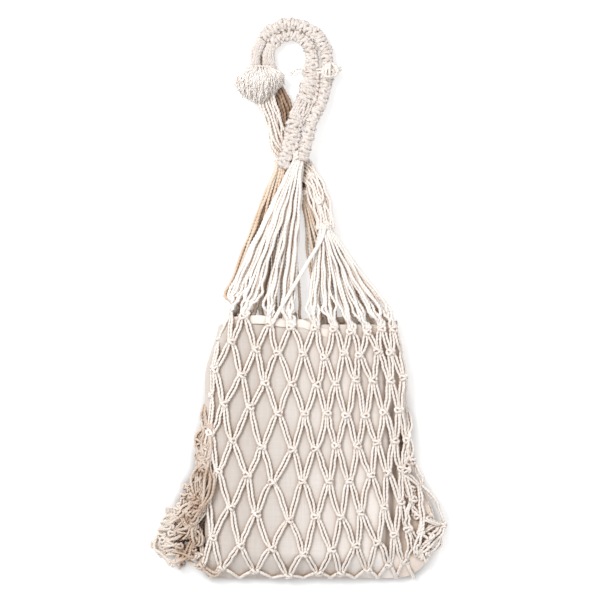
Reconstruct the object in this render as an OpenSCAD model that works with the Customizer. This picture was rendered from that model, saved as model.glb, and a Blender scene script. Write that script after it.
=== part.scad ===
// Mesh produce bag: a knotted cotton net over a cloth pouch, with two twisted cord handles.
// The bag lies flat on its back. X runs across the bag, +Y from the bottom seam to the
// handles, +Z up from the table. The origin is under the middle of the whole bag.

/* [Pouch] */
// Width of the cloth pouch as it lies
pouch_w = 216; // [180:2:230]
// Length of the pouch from its bottom seam to the edge of its mouth
pouch_l = 278; // [240:2:280]
// Height of the pouch as it lies, a little open
pouch_h = 20; // [16:1:20]
// Thickness of the cloth
cloth_t = 1.4; // [0.8:0.1:2]
// Depth of the hem round the mouth
hem_l = 12; // [8:1:20]
// Thickness of the hem, which is folded twice
hem_t = 2.4; // [2:0.1:3]

/* [Net] */
// Diameter of the twisted cotton cord
cord_d = 3; // [2.6:0.1:3.2]
// Thickness of the net where it lies flat
net_t = 4; // [3:0.5:4]
// Width of a mesh at the mouth
mesh_top_w = 24; // [22:1:26]
// Width of a mesh at the bottom
mesh_bottom_w = 29; // [26:1:32]
// Distance between rows of knots
row_h = 38; // [34:1:42]
// Diameter of a net knot
knot_d = 8; // [6:0.5:9]
// Thickness of one layer of the loose net folds at the sides
fold_t = 3; // [2:0.5:3]

/* [Handles] */
// Cords in each fan that runs from the mouth to a handle
fan_cords = 12; // [9:3:12]
// Number of turns in the wrap that gathers a fan
wrap_turns = 2; // [1:1:2]
// Outer radius of the arch that the two straps make
arch_r = 46; // [44:1:47]
// Radius of the big knot that ties the two handles together
big_knot_r = 14.5; // [12:0.5:15]

/* [Hidden] */

net_colour = [0.93, 0.88, 0.81];
cloth_colour = [0.86, 0.82, 0.77];
gap = 0.6;                                  // clearance between layers that lie on each other
bottom_y = -308;                            // outer face of the net at the bottom
pouch_x = 5;                                // middle of the pouch
pouch_bottom_y = bottom_y + net_t;
mouth_y = pouch_bottom_y + pouch_l;
pouch_z = net_t + gap + pouch_h / 2;        // middle height of the pouch
front_z = net_t + gap + pouch_h + gap;      // underside of the front net
side_t = 3;                                 // thickness of the net at the pouch's sides
left_x = pouch_x - pouch_w / 2 - gap - side_t;
right_x = pouch_x + pouch_w / 2 + gap + side_t;
knot_row_y = mouth_y - 7;                   // lower end of the mouth knots
mouth_knot_l = 12;
mouth_knot_d = 4.2;
mouth_knots = 10;
root_l = 11;                                // length of cord between a mouth knot and its fan
fan_y = knot_row_y + mouth_knot_l + root_l + 4;
column_pitch = 4.4;                         // between cords across a gathered bundle
layer_pitch = 3.8;                          // between cords up a gathered bundle
wrap_r = 6;
lattice_x = 8;                              // the column of knots that runs straight down
lattice_rows = 7;
fold_y = 172;                               // where the handles fold over

// Gathers of the four fans, at the end of the cords
front_left_gather_at = [3.3, 144, 22];
front_right_gather_at = [30.3, 73, 17.5];
back_left_gather_at = [-17, 138, 13];
back_right_gather_at = [7.2, 108, 7];

// Routes of the straps and loose legs: [x, y, z, width, height]
arch_x = -8;
arch_y = 262;
outer_centre_r = arch_r - 6;
inner_centre_r = 23.2;
outer_route = concat(
  [[-47.5, 250, 6, 11, 11]],
  [for (a = [180:-30:0]) [arch_x + outer_centre_r * cos(a), arch_y + outer_centre_r * sin(a), 6, 11, 11]],
  [[31.4, 240, 7, 12, 11], [25.9, 217.8, 11, 12, 9], [16, 195.8, 16, 12, 9], [9.6, fold_y + 5, 18, 12, 9]]);
inner_route = concat(
  [[-32.7, 250, 5, 13, 8]],
  [for (a = [180:-30:0])
    [arch_x - 1.5 + inner_centre_r * cos(a), arch_y + 5 + inner_centre_r * sin(a), 5, 11, 8]],
  [[13.9, 240, 6, 19, 8], [7.7, 217.8, 10, 19, 8], [-1.65, 195.8, 15, 17, 8],
   [-6.5, fold_y + 5, 17, 16, 8]]);
outer_end_route = [[8, fold_y - 5, 18, 12, 9], [5.5, 160, 19.5, 12, 9], [3.8, 152.5, 21, 12, 9]];
inner_end_route = [[-9.5, fold_y - 5, 16.5, 14, 8], [-14.5, 155, 14, 12, 8], [-17, 146.5, 13, 11, 8]];
front_leg_route = [[-37, 218, 8, 9, 5], [-29.5, 196, 6.5, 9, 4.5], [-23, fold_y + 6, 5, 8, 3.4]];
front_leg_end_route = [
  [-17.5, fold_y - 6, 4.9, 8, 3.4], [-7, 153, 4.9, 8, 3.4], [8, 141, 4.9, 8, 3.4], [17.5, 123, 8, 8, 5],
  [24, 104, 12, 9, 6], [28.6, 84, 16, 10, 7]];
back_leg_route = [
  [-20, 226, 5, 10, 6], [-14.5, 214, 3, 9, 4], [-12.7, 196, 2, 9, 3], [-15.5, fold_y + 5, 1.6, 9, 2.6]];
back_leg_end_route = [
  [-14, fold_y - 5, 1.6, 9, 2.6], [-3.5, 150, 1.6, 9, 2.6], [3, 136, 2.2, 9, 2.8], [6.8, 117, 5.5, 10, 6]];

// Outlines of the loose net folds beside the pouch, seen from above
left_fold = [
  [left_x, -60], [-110, -140], [-122, -190], [-132, -213], [-148, -240], [-160.5, -262], [-158, -283],
  [-147, -289], [-133, -284], [-118, -289], [left_x, -300]];
right_fold = [
  [right_x, -38], [126, -58], [127, -138], [133, -182], [139, -218], [149, -235], [160.5, -256],
  [160, -266], [152, -281], [139, -298], [right_x, -305]];

// Curve through a list of points of any size
function between(a, b, c, d, t) =
  0.5 * (2 * b + (c - a) * t + (2 * a - 5 * b + 4 * c - d) * t * t + (3 * b - a - 3 * c + d) * t * t * t);
function curve(p, steps) = concat(
  [for (i = [0:len(p) - 2], k = [0:steps - 1])
    between(p[max(i - 1, 0)], p[i], p[i + 1], p[min(i + 2, len(p) - 1)], k / steps)],
  [p[len(p) - 1]]);

function unit(v) = v / norm(v);
function spot(p) = [p[0], p[1], p[2]];
function heading(p, i) = unit(spot(p[min(i + 1, len(p) - 1)]) - spot(p[max(i - 1, 0)]));
function ring(p, i, sides) =
  let (along = heading(p, i), across = unit(cross([0, 0, 1], along)), up = cross(along, across))
  [for (k = [0:sides - 1])
    spot(p[i]) + across * p[i][3] / 2 * cos(360 * k / sides) + up * p[i][4] / 2 * sin(360 * k / sides)];

// A flat oval band swept along a route
module band(route, steps = 4, sides = 12) {
  p = curve(route, steps);
  last = len(p) - 1;
  polyhedron(
    points = [for (i = [0:last]) each ring(p, i, sides)],
    faces = concat(
      [[for (k = [0:sides - 1]) k]],
      [for (i = [0:last - 1], k = [0:sides - 1], half = [0, 1])
        let (a = i * sides + k, b = a + sides, c = (i + 1) * sides + (k + 1) % sides, d = c - sides)
        half == 0 ? [a, b, c] : [a, c, d]],
      [[for (k = [sides - 1:-1:0]) last * sides + k]]));
}

// A straight length of cord from a to b
module cord(a, b, d = cord_d) {
  v = b - a;
  translate(a)
    rotate([0, acos(v.z / norm(v)), atan2(v.y, v.x)])
      cylinder(h = norm(v), d = d, $fn = 24);
}

// Cords that leave a row of mouth knots and close up into a bundle four wide and three deep
module fan(left, right, z, gather) {
  layers = 3;
  for (i = [0:fan_cords - 1])
    cord(
      [left + (right - left) * i / (fan_cords - 1), fan_y, z],
      gather + [
        (floor(i / layers) - (fan_cords / layers - 1) / 2) * column_pitch, 0,
        (i % layers - 1) * layer_pitch]);
}

// Turns of cord round the end of a bundle, on a round core
module wrap(at, r, turns) {
  pitch = cord_d * 0.9;
  translate(at + [0, 0.4, 0])
    rotate([-90, 0, 0])
      union() {
        cylinder(h = turns * pitch + 0.5, r = r - cord_d / 2, $fn = 48);
        for (k = [0:turns - 1])
          translate([0, 0, cord_d / 2 + k * pitch])
            rotate_extrude($fn = 48)
              translate([r - cord_d / 2, 0])
                circle(d = cord_d, $fn = 24);
      }
}

// Section of the pouch as it lies: two straight sides between two round ones
module pouch_section(inset) {
  r = pouch_h / 2 - inset;
  square([pouch_w - pouch_h, 2 * r], center = true);
  for (side = [-1, 1])
    translate([side * (pouch_w - pouch_h) / 2, 0])
      circle(r = r, $fn = 64);
}

// A length of the pouch's wall, between two places along Y
module pouch_wall(from_y, to_y, thickness) {
  translate([pouch_x, to_y, pouch_z])
    rotate([90, 0, 0])
      linear_extrude(to_y - from_y)
        difference() {
          pouch_section(0);
          pouch_section(thickness);
        }
}

// One panel of the pouch: its half of the wall and of the bottom
module panel(side) {
  seam = 0.1;
  intersection() {
    union() {
      pouch_wall(pouch_bottom_y + gap, mouth_y - hem_l - 0.2, cloth_t);
      translate([pouch_x, pouch_bottom_y + gap + cloth_t, pouch_z])
        rotate([90, 0, 0])
          linear_extrude(cloth_t)
            pouch_section(0);
    }
    translate([left_x, bottom_y, side > 0 ? pouch_z + seam : pouch_z - seam - pouch_h])
      cube([right_x - left_x, pouch_l + net_t, pouch_h]);
  }
}

// Place of a lattice point: u counts meshes across, v counts rows of knots down
function lattice(u, v) = [
  lattice_x + u * (mesh_top_w + (mesh_bottom_w - mesh_top_w) * v / lattice_rows),
  knot_row_y - v * row_h];

// The open diamonds between doubled cords and their knots
module diamonds() {
  half_w = 0.31;
  half_l = 0.74;
  corner_w = 0.03;
  corner_l = 0.08;
  for (row = [0:lattice_rows], column = [-6:5])
    let (u = column + (row % 2) / 2)
    polygon([
      lattice(u - half_w, row - corner_l), lattice(u - corner_w, row - half_l),
      lattice(u + corner_w, row - half_l), lattice(u + half_w, row - corner_l),
      lattice(u + half_w, row + corner_l), lattice(u + corner_w, row + half_l),
      lattice(u - corner_w, row + half_l), lattice(u - half_w, row + corner_l)]);
}

module net_outline() {
  translate([left_x, bottom_y])
    square([right_x - left_x, knot_row_y - 0.3 - bottom_y]);
}

// A flat sheet of net, with a whole cord round its edge
module net_sheet(z, thickness) {
  translate([0, 0, z])
    linear_extrude(thickness)
      difference() {
        children();
        intersection() {
          offset(delta = -cord_d) children();
          diamonds();
        }
      }
}

// The net down one side of the pouch and the loose fold that stands out from it
module side_net(outline, x) {
  low = net_t + 0.2;
  high = front_z - 0.2;
  window_w = 26;
  difference() {
    translate([x, bottom_y + net_t, low])
      cube([side_t, knot_row_y - bottom_y - net_t - 1, high - low]);
    for (row = [0:lattice_rows - 1])
      translate([x - 1, knot_row_y - 3 - (row + 0.5) * row_h - window_w / 2 + 6, low + 4])
        cube([side_t + 2, window_w, high - low - 8]);
  }
  fold_low = pouch_z - 7;
  fold_high = pouch_z + 7;
  net_sheet(fold_low, fold_t) polygon(outline);
  net_sheet(fold_high - fold_t, fold_t) polygon(outline);
  translate([0, 0, fold_low])
    linear_extrude(fold_high - fold_low)
      difference() {
        polygon(outline);
        offset(delta = -cord_d) polygon(outline);
      }
}

// Knots along the mouth, each with the two cords that rise from it
module mouth_row(z) {
  spread = right_x - left_x - 22;
  for (k = [0:mouth_knots - 1], side = [-1, 1])
    let (x = left_x + 11 + spread * k / (mouth_knots - 1) + side * mouth_knot_d * 0.45) {
      cord([x, knot_row_y, z], [x, knot_row_y + mouth_knot_l, z], mouth_knot_d);
      cord([x, knot_row_y + mouth_knot_l - 1, z], [x, knot_row_y + mouth_knot_l + root_l, z]);
    }
}

module liner_front_panel() { color(cloth_colour) panel(1); }
module liner_back_panel() { color(cloth_colour) panel(-1); }
module liner_mouth_hem() { color(cloth_colour) pouch_wall(mouth_y - hem_l, mouth_y, hem_t); }

module net_front() {
  color(net_colour)
    union() {
      net_sheet(front_z, net_t) net_outline();
      for (row = [1:lattice_rows - 1], column = [-4:3])
        translate(concat(lattice(column + ((row + 1) % 2) / 2, row), [front_z]))
          cylinder(h = net_t + 1, d = knot_d, $fn = 32);
    }
}
module net_back() { color(net_colour) net_sheet(0, net_t) net_outline(); }
module net_left_side() { color(net_colour) side_net(left_fold, left_x); }
module net_right_side() { color(net_colour) side_net(right_fold, right_x - side_t); }
module net_bottom() {
  low = net_t + 0.2;
  high = front_z - 0.2;
  windows = 8;
  pitch = (right_x - left_x) / windows;
  color(net_colour)
    difference() {
      translate([left_x, bottom_y, low])
        cube([right_x - left_x, net_t - 0.2, high - low]);
      for (k = [0:windows - 1])
        translate([left_x + 5 + k * pitch, bottom_y - 1, low + 4])
          cube([pitch - 10, net_t + 2, high - low - 8]);
    }
}
module front_mouth_knots() { color(net_colour) mouth_row(front_z + net_t / 2); }
module back_mouth_knots() { color(net_colour) mouth_row(net_t / 2 + 0.2); }

module front_left_cords() { color(net_colour) fan(-71, 1, front_z + net_t / 2, front_left_gather_at); }
module front_right_cords() { color(net_colour) fan(9, 110, front_z + net_t / 2, front_right_gather_at); }
module back_left_cords() { color(net_colour) fan(-92, -8, net_t / 2 + 0.2, back_left_gather_at); }
module back_right_cords() { color(net_colour) fan(5, 84, net_t / 2 + 0.2, back_right_gather_at); }

module front_left_gather() { color(net_colour) wrap(front_left_gather_at, wrap_r, wrap_turns); }
module front_right_gather() { color(net_colour) wrap(front_right_gather_at, wrap_r + 1, wrap_turns); }
module back_left_gather() { color(net_colour) wrap(back_left_gather_at, wrap_r, wrap_turns); }
module back_right_gather() { color(net_colour) wrap(back_right_gather_at, wrap_r, wrap_turns); }

module outer_strap_end() { color(net_colour) band(outer_end_route); }
module inner_strap_end() { color(net_colour) band(inner_end_route); }
module front_loose_leg_end() { color(net_colour) band(front_leg_end_route); }
module back_loose_leg_end() { color(net_colour) band(back_leg_end_route); }
module outer_strap() { color(net_colour) band(outer_route); }
module inner_strap() { color(net_colour) band(inner_route); }
module front_loose_leg() { color(net_colour) band(front_leg_route); }
module back_loose_leg() { color(net_colour) band(back_leg_route); }

// A ball with three turns of cord round it, each tilted its own way
module big_handle_knot() {
  turn_d = 6;
  color(net_colour)
    translate([-40, 234, big_knot_r])
      union() {
        sphere(r = big_knot_r - 1, $fn = 48);
        for (tilt = [[0, 15, 0], [70, 0, 20], [60, 0, -50]])
          rotate(tilt)
            rotate_extrude($fn = 48)
              translate([big_knot_r - turn_d / 2, 0])
                circle(d = turn_d, $fn = 24);
      }
}

// Loose cord ends that stick out of the big knot and lie on the table
module big_knot_frays() {
  fray_d = 2.4;
  for (angle = [150, 172, 194, 216, 238])
    color(net_colour)
      cord(
        [-40 + (big_knot_r + 0.8) * cos(angle), 234 + (big_knot_r + 0.8) * sin(angle), 8],
        [-40 + (big_knot_r + 13) * cos(angle), 234 + (big_knot_r + 13) * sin(angle), fray_d],
        fray_d);
}

// A cord tied over both straps, with its thick knot on the outer one
module small_handle_knot() {
  tie_z = 16;
  color(net_colour)
    union() {
      cord([-12, 246.5, tie_z], [47, 251, tie_z], 5);
      cord([26, 249.4, tie_z + 3.2], [39, 250.4, tie_z + 3.2], 12);
    }
}

liner_front_panel();
liner_back_panel();
liner_mouth_hem();
net_front();
net_back();
net_left_side();
net_right_side();
net_bottom();
front_mouth_knots();
back_mouth_knots();
front_left_cords();
front_right_cords();
back_left_cords();
back_right_cords();
front_left_gather();
front_right_gather();
back_left_gather();
back_right_gather();
outer_strap_end();
inner_strap_end();
front_loose_leg_end();
back_loose_leg_end();
outer_strap();
inner_strap();
front_loose_leg();
back_loose_leg();
big_handle_knot();
big_knot_frays();
small_handle_knot();
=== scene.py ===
"""Looks of the mesh produce bag: a knotted cotton net over a cloth pouch, lying flat on its back.

Shapes are worked out in millimetres in the shared frame (+X across, +Y towards the handles, +Z up)
and become metres when a mesh is made.
"""

import math

import bpy
import numpy as np
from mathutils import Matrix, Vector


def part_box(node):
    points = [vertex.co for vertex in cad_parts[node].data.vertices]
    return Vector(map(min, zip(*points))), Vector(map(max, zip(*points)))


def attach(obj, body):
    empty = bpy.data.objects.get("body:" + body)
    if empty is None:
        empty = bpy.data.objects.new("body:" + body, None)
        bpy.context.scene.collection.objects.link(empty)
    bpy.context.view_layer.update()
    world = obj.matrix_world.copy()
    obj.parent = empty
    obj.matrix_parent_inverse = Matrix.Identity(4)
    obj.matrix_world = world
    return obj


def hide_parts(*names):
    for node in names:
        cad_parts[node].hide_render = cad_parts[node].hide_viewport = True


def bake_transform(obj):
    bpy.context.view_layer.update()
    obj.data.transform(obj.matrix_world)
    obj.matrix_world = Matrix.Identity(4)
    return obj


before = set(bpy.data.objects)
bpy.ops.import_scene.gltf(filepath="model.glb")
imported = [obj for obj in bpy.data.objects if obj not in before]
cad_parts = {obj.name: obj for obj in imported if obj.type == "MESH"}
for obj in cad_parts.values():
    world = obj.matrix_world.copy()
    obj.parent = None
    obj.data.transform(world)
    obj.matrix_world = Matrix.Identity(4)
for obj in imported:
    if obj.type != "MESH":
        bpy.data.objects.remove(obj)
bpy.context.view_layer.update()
SEED = 11
rng = np.random.default_rng(SEED)

MM = 0.001
UP = np.array([0.0, 0.0, 1.0])

# ---------------------------------------------------------------- sizes

CORD_R = 1.5  # radius of a tightly twisted cord
NET_R = 1.75  # radius of the cord in the net, which is a little looser there
LIE_Z = 1.8  # height of the middle of a cord that lies on the table
LOOSE_LIE_Z = 1.9  # and of the net's and the legs' cords, which lie looser
TOP_Z = 30  # the middle of a cord in the fans and frays goes no higher
PLIES = 3  # they show as ridges that wind round the cord
LAY = 12.0  # length of one turn of the plies

POUCH_LOW, POUCH_HIGH = (np.array(c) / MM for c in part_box("liner_back_panel"))
POUCH_X = (POUCH_LOW[0] + POUCH_HIGH[0]) / 2
POUCH_HALF_W = (POUCH_HIGH[0] - POUCH_LOW[0]) / 2
POUCH_BOTTOM = POUCH_LOW[1]
POUCH_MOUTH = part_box("liner_mouth_hem")[1][1] / MM
POUCH_MID_Z = POUCH_HIGH[2]
POUCH_HALF_H = POUCH_MID_Z - POUCH_LOW[2]
SQUARE_X, SQUARE_Z = 0.62, 0.55  # how square its section is, across and upwards; 1 would be an ellipse
CLOTH_THICK = 0.9

COLUMNS = 32  # meshes round the net
ROWS = 8  # rows of knots below the one at the mouth
NET_X = 6.0  # the column of knots that runs straight down
NET_BOTTOM = POUCH_BOTTOM - 3.0
CLOTH_EDGE = POUCH_BOTTOM - 5.5  # the flat seam at the bottom of the pouch


# ---------------------------------------------------------------- lines and meshes

def smooth(low, high, x):
    """0 below low, 1 above high and an easy slope between them; low may be the larger."""
    t = np.clip((np.asarray(x, float) - low) / (high - low), 0, 1)
    return t * t * (3 - 2 * t)


def unit(v):
    return v / np.maximum(np.linalg.norm(v, axis=-1, keepdims=True), 1e-9)


def curve(points, steps=8):
    """A smooth line through the points (Catmull-Rom)."""
    p = np.asarray(points, float)
    p = np.vstack([2 * p[0] - p[1], p, 2 * p[-1] - p[-2]])
    t = np.linspace(0, 1, steps, endpoint=False)[:, None]
    a, b, c, d = (q[:, None] for q in (p[:-3], p[1:-2], p[2:-1], p[3:]))
    line = 0.5 * (2 * b + (c - a) * t + (2 * a - 5 * b + 4 * c - d) * t**2 + (3 * b - a - 3 * c + d) * t**3)
    return np.vstack([line.reshape(-1, p.shape[1]), p[-2:-1]])


def even(points, step, closed=False):
    """The same line with points an even step apart."""
    p = np.asarray(points, float)
    if closed:
        p = np.vstack([p, p[:1]])
    run = np.concatenate([[0], np.cumsum(np.linalg.norm(np.diff(p, axis=0), axis=1))])
    count = max(3, int(round(run[-1] / step)))
    at = np.linspace(0, run[-1], count + 1)
    line = np.stack([np.interp(at, run, p[:, k]) for k in range(p.shape[1])], axis=1)
    return (line[:-1] if closed else line), run[-1]


def mesh_object(name, points, quads, triangles, material):
    """A mesh with smooth shading, from points in millimetres."""
    mesh = bpy.data.meshes.new(name)
    corners = np.concatenate([quads.ravel(), triangles.ravel()]).astype(np.int32)
    starts = np.concatenate([np.arange(len(quads)) * 4, len(quads) * 4 + np.arange(len(triangles)) * 3])
    mesh.vertices.add(len(points))
    mesh.vertices.foreach_set("co", (points * MM).astype(np.float32).ravel())
    mesh.loops.add(len(corners))
    mesh.loops.foreach_set("vertex_index", corners)
    mesh.polygons.add(len(starts))
    mesh.polygons.foreach_set("loop_start", starts.astype(np.int32))
    mesh.update(calc_edges=True)
    mesh.validate()
    mesh.polygons.foreach_set("use_smooth", np.ones(len(mesh.polygons), bool))
    mesh.materials.append(material)
    thing = bpy.data.objects.new(name, mesh)
    bpy.context.scene.collection.objects.link(thing)
    return thing


class Cords:
    """Collects lengths of twisted cord and makes one mesh of them."""

    def __init__(self):
        self.points, self.quads, self.triangles, self.count = [], [], [], 0

    def add(self, path, radius=CORD_R, closed=False, up=UP, sides=9, step=1.5):
        """A twisted cord along path.

        radius is one number or one for each end; up may not lie along the path.
        """
        line, length = even(path, step, closed)
        n = len(line)
        ahead = np.roll(line, -1, 0) - np.roll(line, 1, 0)
        if not closed:
            ahead[0], ahead[-1] = line[1] - line[0], line[-1] - line[-2]
        ahead = unit(ahead)
        across = unit(np.cross(np.asarray(up, float), ahead))
        over = np.cross(ahead, across)
        turns = length / LAY
        if closed:
            turns = max(1, round(turns))
        spin = np.linspace(0, 2 * math.pi * turns, n, endpoint=not closed) + rng.uniform(0, 6)
        angle = np.arange(sides) * 2 * math.pi / sides
        ply = 0.90 + 0.16 * np.cos(PLIES * angle)
        thick = np.linspace(*np.broadcast_to(radius, 2), n)[:, None] * ply
        turn = spin[:, None] + angle
        ring = (line[:, None] + across[:, None] * (thick * np.cos(turn))[..., None]
                + over[:, None] * (thick * np.sin(turn))[..., None])
        i, k = np.meshgrid(np.arange(n if closed else n - 1), np.arange(sides), indexing="ij")
        j, m = (i + 1) % n, (k + 1) % sides
        quads = np.stack([i * sides + k, i * sides + m, j * sides + m, j * sides + k], -1).reshape(-1, 4)
        points = ring.reshape(-1, 3)
        if not closed:
            tips = np.array([line[0] - ahead[0] * thick[0].mean() * 0.5,
                             line[-1] + ahead[-1] * thick[-1].mean() * 0.5])
            first, last = n * sides, n * sides + 1
            k = np.arange(sides)
            m = (k + 1) % sides
            caps = [np.stack([np.full(sides, first), m, k], -1),
                    np.stack([np.full(sides, last), (n - 1) * sides + k, (n - 1) * sides + m], -1)]
            self.triangles.append(np.concatenate(caps) + self.count)
            points = np.vstack([points, tips])
        self.quads.append(quads + self.count)
        self.points.append(points)
        self.count += len(points)

    def loop(self, centre, across, over, half_w, half_h, radius):
        """A closed turn of cord: an oval in the plane of across and over."""
        a = np.linspace(0, 2 * math.pi, 28, endpoint=False)[:, None]
        path = centre + across * half_w * np.cos(a) + over * half_h * np.sin(a)
        self.add(path, radius, closed=True, up=np.cross(across, over))

    def make(self, name, material):
        """The mesh of all the cords; whatever would reach the table is eased up to just above it."""
        triangles = np.concatenate(self.triangles) if self.triangles else np.zeros((0, 3), int)
        points = np.vstack(self.points)
        z, ease, gap = points[:, 2], 0.6, 0.05
        points[:, 2] = np.where(z < ease, gap + (ease - gap) * np.exp(z - ease), z)
        return mesh_object(name, points, np.concatenate(self.quads), triangles, material)


# ---------------------------------------------------------------- materials

class Nodes:
    """A small helper that adds shader nodes and links them."""

    def __init__(self, name):
        self.material = bpy.data.materials.new(name)
        self.material.use_nodes = True
        self.tree = self.material.node_tree
        self.shader = self.tree.nodes["Principled BSDF"]

    def new(self, kind, inputs=(), **settings):
        node = self.tree.nodes.new(kind)
        for key, value in settings.items():
            setattr(node, key, value)
        self.fill(node, inputs)
        return node

    def fill(self, node, inputs):
        """Links a node's inputs to sockets, or sets them to values."""
        for key, value in dict(inputs).items():
            if isinstance(value, bpy.types.NodeSocket):
                self.tree.links.new(value, node.inputs[key])
            else:
                node.inputs[key].default_value = value

    def place(self):
        return self.new("ShaderNodeTexCoord").outputs["Object"]

    def ramp(self, value, low, high, start=0.0, end=1.0):
        """start where the value is low, end where it is high, and evenly between."""
        node = self.new("ShaderNodeMapRange", {
            "Value": value, "From Min": low, "From Max": high, "To Min": start, "To Max": end})
        return node.outputs["Result"]

    def math(self, operation, *values):
        return self.new("ShaderNodeMath", dict(enumerate(values)), operation=operation).outputs[0]

    def vector(self, operation, *values):
        return self.new("ShaderNodeVectorMath", dict(enumerate(values)), operation=operation).outputs[0]

    def noise(self, place, scale, detail):
        return self.new("ShaderNodeTexNoise", {"Vector": place, "Scale": scale, "Detail": detail})


def mix_colours(nodes, share, first, second):
    """A colour between two colours, by a share that a node gives."""
    first, second = (c if isinstance(c, bpy.types.NodeSocket) else (*c, 1) for c in (first, second))
    inputs = {"Factor": share, "A": first, "B": second}
    return nodes.new("ShaderNodeMix", inputs, data_type="RGBA").outputs["Result"]


def painted_crevice_shade(nodes, reach, low, high):
    """Painted shade from ambient occlusion: 1 deep between cords and where things touch, 0 in the open; reach
    is in metres.
    """
    shade = nodes.new("ShaderNodeAmbientOcclusion", {"Distance": reach}, samples=8)
    return nodes.ramp(shade.outputs["AO"], low, high, 1.0, 0.0)


def share_along(nodes, axis, start, end):
    """0 where the place along the axis is start, in metres, and 1 where it is end."""
    along = nodes.new("ShaderNodeSeparateXYZ", {"Vector": nodes.place()}).outputs[axis]
    return nodes.ramp(along, start, end)


def bumps(nodes, height, strength):
    """Normals of a surface with fine relief."""
    relief = {"Height": height, "Strength": strength, "Distance": 0.0004}
    return nodes.new("ShaderNodeBump", relief).outputs["Normal"]


def cord_material(name, light, warm, deep, reach=0.014, patch=90.0, painted_light_x=None):
    """Undyed cotton cord: soft, matt, a little uneven, and browner deep between the cords with painted shade.

    An x range may be given for painted light: from the x at which it starts to the x at which it is full, the
    colour turns to light all over.
    """
    nodes = Nodes(name)
    place = nodes.place()
    patches = nodes.noise(place, patch, 4.0).outputs["Fac"]
    fibres = nodes.noise(place, 2600.0, 3.0).outputs["Fac"]
    colour = mix_colours(nodes, nodes.ramp(patches, 0.34, 0.66), light, warm)
    # painted shade: browner deep between the cords
    colour = mix_colours(nodes, painted_crevice_shade(nodes, reach, 0.10, 0.66), colour, deep)
    # painted light: the colour turns to light all over across the given x range
    if painted_light_x:
        colour = mix_colours(nodes, share_along(nodes, "X", *painted_light_x), colour, light)
    nodes.fill(nodes.shader, {
        "Base Color": colour, "Normal": bumps(nodes, fibres, 0.35), "Roughness": 0.95,
        "Specular IOR Level": 0.15, "Sheen Weight": 0.25, "Sheen Roughness": 0.6})
    return nodes.material


WEAVE = 0.0009  # from one thread of the cloth to the next, in metres


def weave_height(nodes, place):
    """Height of a plain weave: warp and weft in turn over each other."""
    parts = nodes.new("ShaderNodeSeparateXYZ", {"Vector": place})
    waves = [nodes.math("SINE", nodes.math("MULTIPLY", parts.outputs[axis], math.pi / WEAVE))
             for axis in ("X", "Y")]
    return nodes.math("ABSOLUTE", nodes.math("MULTIPLY", *waves))


def cloth_material(name, light, warm, deep, corner=None):
    """Undyed plain-weave cotton with uneven threads, browner deep between the cords on it with painted shade.

    corner is the colour of the pouch's loose corner on the right; painted light and shade make the cloth
    darker on the left and a little lighter towards it.
    """
    nodes = Nodes(name)
    place = nodes.place()
    wander = nodes.noise(place, 60.0, 2.0).outputs["Color"]
    moved = nodes.vector("ADD", place, nodes.vector("MULTIPLY", wander, (0.002, 0.002, 0.0)))
    slubs = [nodes.noise(nodes.vector("MULTIPLY", place, stretch), 2.0, 2.0).outputs["Fac"]
             for stretch in ((14.0, 500.0, 1.0), (500.0, 14.0, 1.0))]
    uneven = nodes.math("ADD", *slubs)
    colour = mix_colours(nodes, nodes.ramp(uneven, 0.7, 1.3), light, warm)
    if corner:
        # painted light and shade: darker on the left, lighter towards the loose corner on the right
        towards = share_along(nodes, "X", -0.045, 0.095)
        painted_light_tint = mix_colours(nodes, towards, (0.86, 0.845, 0.825), (1.22, 1.23, 1.24))
        colour = nodes.vector("MULTIPLY", colour, painted_light_tint)
        colour = mix_colours(nodes, share_along(nodes, "X", 0.100, 0.112), colour, corner)
    # painted shade: browner deep between the cords and in the crease
    colour = mix_colours(nodes, painted_crevice_shade(nodes, 0.012, 0.15, 0.85), colour, deep)
    height = nodes.math("ADD", weave_height(nodes, moved), uneven)
    nodes.fill(nodes.shader, {
        "Base Color": colour, "Normal": bumps(nodes, height, 0.5), "Roughness": 0.92,
        "Specular IOR Level": 0.15, "Sheen Weight": 0.15})
    return nodes.material


# Each cord's colours: in the open, in warmer patches, and the painted shade deep between cords
CORD = cord_material("cotton_cord", (0.92, 0.865, 0.82), (0.87, 0.80, 0.74), (0.60, 0.42, 0.29))
STRAP_CORD = cord_material("cotton_cord_strap", (0.79, 0.73, 0.695), (0.75, 0.68, 0.63), (0.64, 0.52, 0.43))
FAN_CORD = cord_material("cotton_cord_fan", (0.96, 0.925, 0.89), (0.93, 0.88, 0.84), (0.72, 0.55, 0.42),
                         reach=0.008)
# painted shade: a shaded copy of the cord for the back fans and the back mouth knots, tan where they lie
# under others
SHADE_TAN_CORD = cord_material("cotton_cord_shade_tan", (0.93, 0.84, 0.74), (0.74, 0.55, 0.39), (0.46, 0.27, 0.14),
                         reach=0.008, patch=30.0)
# painted shadow: a brown copy of the cord for the back leg, which lies in shade under the straps
SHADOW_BROWN_CORD = cord_material("cotton_cord_shadow_brown", (0.54, 0.39, 0.28), (0.33, 0.20, 0.12), (0.18, 0.09, 0.05),
                           patch=60.0)
# painted shade: a browner copy of the cord for the left fold, with painted light making its outer left edge
# light
SHADED_CORD = cord_material("cotton_cord_shaded", (0.82, 0.73, 0.65), (0.54, 0.38, 0.27), (0.34, 0.20, 0.12),
                            reach=0.018, patch=38.0, painted_light_x=(-0.128, -0.142))
FRAY = cord_material("cotton_fray", (0.97, 0.93, 0.90), (0.94, 0.88, 0.84), (0.88, 0.77, 0.67))
CLOTH = cloth_material("cotton_cloth", (0.78, 0.73, 0.695), (0.71, 0.655, 0.615), (0.50, 0.36, 0.25),
                       corner=(0.88, 0.76, 0.68))
HEM = cloth_material("cotton_hem", (0.94, 0.88, 0.83), (0.88, 0.81, 0.75), (0.54, 0.38, 0.26))


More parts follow.
